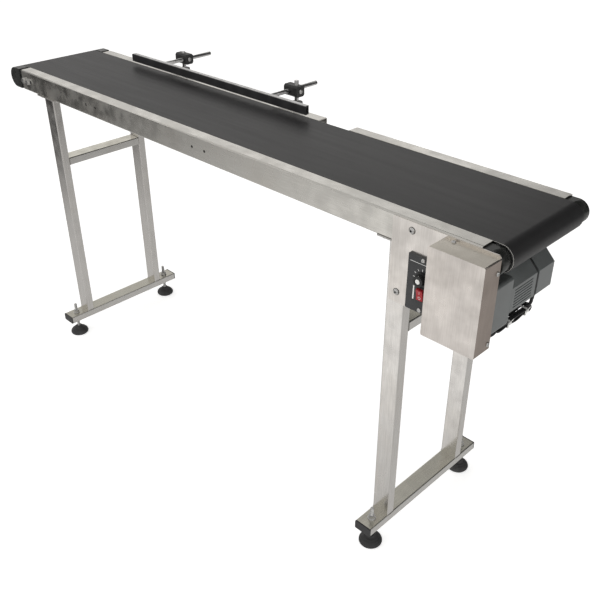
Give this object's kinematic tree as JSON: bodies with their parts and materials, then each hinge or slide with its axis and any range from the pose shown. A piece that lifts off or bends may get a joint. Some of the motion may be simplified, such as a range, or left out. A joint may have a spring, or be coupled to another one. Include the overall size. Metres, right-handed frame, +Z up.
{
  "type": "belt conveyor section",
  "caption": "Short flat-belt conveyor on leg frames, with side rails, geared motor drive under one end, speed controller, adjustable guide rail and levelling feet.",
  "frame": {"origin": "point on the floor straight below the centre of the belt", "axes": "+X along the belt to the drive end, +Y across the belt to the guide rail side, +Z up"},
  "size_m": [1.5, 0.448, 0.793],
  "materials": {
    "rail_sheet": "satin",
    "leg_tube": "satin",
    "bright_steel": "polished",
    "zinc_fastener": "zinc plated",
    "machined_steel": "machined",
    "belt_rubber": "matte, fine fabric texture",
    "housing_black": "semi-gloss black",
    "drum_steel": "turned",
    "motor_paint": "satin grey enamel",
    "copper_winding": "varnished",
    "black_plastic": "fine grain",
    "knob_plastic": "semi-gloss",
    "switch_red": "gloss",
    "panel_black": "satin",
    "board_green": "solder mask",
    "foot_rubber": "moulded",
    "cable_black": "matte",
    "timing_rubber": "matte",
    "tie_white": "moulded"
  },
  "bodies": {
    "frame": {"side_rail_front": "rail_sheet", "side_rail_back": "rail_sheet", "slider_bed": "rail_sheet", "cross_ties": "rail_sheet", "conveyor_belt": "belt_rubber", "drive_side_plate": "rail_sheet", "drive_cover": "rail_sheet", "drive_housings": "housing_black", "drive_bearings": "machined_steel", "timing_belt": "timing_rubber", "return_axles": "machined_steel", "uprights_tail": "leg_tube", "uprights_drive": "leg_tube", "leg_crossbars": "leg_tube", "foot_beams": "leg_tube", "beam_end_caps": "black_plastic", "leg_top_plates": "rail_sheet", "frame_bolts": "zinc_fastener", "lock_nuts": "zinc_fastener", "gearbox_housing": "motor_paint", "motor_housing": "motor_paint", "motor_stator": "copper_winding", "fan_cowl": "motor_paint", "controller_case": "panel_black", "controller_panel": "panel_black", "controller_board": "board_green", "small_screws": "bright_steel", "switch_body": "knob_plastic", "side_brackets": "black_plastic", "motor_lead": "cable_black", "controller_lead": "cable_black", "lead_hank": "cable_black", "lead_ties": "tie_white"},
    "drive_drum": {"drive_roller": "drum_steel", "drive_shaft": "machined_steel", "driven_pulley": "machined_steel"},
    "tail_takeup": {"tail_housings": "housing_black", "tail_shaft": "machined_steel", "tail_bolts": "zinc_fastener"},
    "tail_drum": {"tail_roller": "drum_steel"},
    "return_idler_tail": {"return_roller_tail": "drum_steel"},
    "return_idler_drive": {"return_roller_drive": "drum_steel"},
    "rotor": {"motor_rotor": "machined_steel", "cooling_fan": "black_plastic"},
    "layshaft": {"layshaft_gear": "machined_steel"},
    "output": {"output_shaft": "machined_steel", "motor_pulley": "machined_steel"},
    "knob": {"speed_knob": "knob_plastic"},
    "rocker": {"rocker_switch": "switch_red"},
    "post_slider": {"guide_posts": "bright_steel", "cross_clamps": "black_plastic", "clamp_screws": "bright_steel"},
    "guide_bar": {"guide_rods": "bright_steel", "guide_holder": "rail_sheet", "guide_strip": "black_plastic"},
    "leveller_tail_front": {"foot_tail_front": "foot_rubber"},
    "leveller_tail_back": {"foot_tail_back": "foot_rubber"},
    "leveller_drive_front": {"foot_drive_front": "foot_rubber"},
    "leveller_drive_back": {"foot_drive_back": "foot_rubber"}
  },
  "joints": [
    {"name": "motor_spin", "type": "hinge", "parent": "frame", "child": "rotor", "pos_m": [0.691, 0, 0.636], "axis": [0, 1, 0], "continuous": true},
    {"name": "layshaft_spin", "type": "hinge", "parent": "frame", "child": "layshaft", "pos_m": [0.66901, 0, 0.63667], "axis": [0, 1, 0], "continuous": true},
    {"name": "output_spin", "type": "hinge", "parent": "frame", "child": "output", "pos_m": [0.691, 0, 0.654], "axis": [0, 1, 0], "continuous": true},
    {"name": "drive_roller_spin", "type": "hinge", "parent": "frame", "child": "drive_drum", "pos_m": [0.725, 0, 0.725], "axis": [0, 1, 0], "continuous": true},
    {"name": "belt_take_up", "type": "slide", "parent": "frame", "child": "tail_takeup", "axis": [1, 0, 0], "range_m": [0, 0.01]},
    {"name": "tail_roller_spin", "type": "hinge", "parent": "tail_takeup", "child": "tail_drum", "pos_m": [-0.725, 0, 0.725], "axis": [0, 1, 0], "continuous": true},
    {"name": "return_roller_tail_spin", "type": "hinge", "parent": "frame", "child": "return_idler_tail", "pos_m": [-0.24, 0, 0.7117], "axis": [0, 1, 0], "continuous": true},
    {"name": "return_roller_drive_spin", "type": "hinge", "parent": "frame", "child": "return_idler_drive", "pos_m": [0.24, 0, 0.7117], "axis": [0, 1, 0], "continuous": true},
    {"name": "speed_knob_turn", "type": "hinge", "parent": "frame", "child": "knob", "pos_m": [0.61, -0.143, 0.655], "axis": [0, -1, 0], "range_deg": [-150, 120]},
    {"name": "rocker_tilt", "type": "hinge", "parent": "frame", "child": "rocker", "pos_m": [0.61, -0.143, 0.626], "axis": [1, 0, 0], "range_deg": [-16, 0]},
    {"name": "guide_height", "type": "slide", "parent": "frame", "child": "post_slider", "axis": [0, 0, 1], "range_m": [-0.007, 0.03]},
    {"name": "guide_reach", "type": "slide", "parent": "post_slider", "child": "guide_bar", "axis": [0, 1, 0], "range_m": [-0.055, 0.06]},
    {"name": "foot_tail_front_height", "type": "slide", "parent": "frame", "child": "leveller_tail_front", "axis": [0, 0, 1], "range_m": [-0.02, 0.018]},
    {"name": "foot_tail_back_height", "type": "slide", "parent": "frame", "child": "leveller_tail_back", "axis": [0, 0, 1], "range_m": [-0.02, 0.018]},
    {"name": "foot_drive_front_height", "type": "slide", "parent": "frame", "child": "leveller_drive_front", "axis": [0, 0, 1], "range_m": [-0.02, 0.018]},
    {"name": "foot_drive_back_height", "type": "slide", "parent": "frame", "child": "leveller_drive_back", "axis": [0, 0, 1], "range_m": [-0.02, 0.018]}
  ],
  "couplings": [
    {"joint": "layshaft_spin", "follows": "motor_spin", "ratio": -0.375},
    {"joint": "output_spin", "follows": "motor_spin", "ratio": 0.10227},
    {"joint": "drive_roller_spin", "follows": "motor_spin", "ratio": 0.10227},
    {"joint": "tail_roller_spin", "follows": "motor_spin", "ratio": 0.10227},
    {"joint": "return_roller_tail_spin", "follows": "motor_spin", "ratio": -0.23011},
    {"joint": "return_roller_drive_spin", "follows": "motor_spin", "ratio": -0.23011}
  ]
}
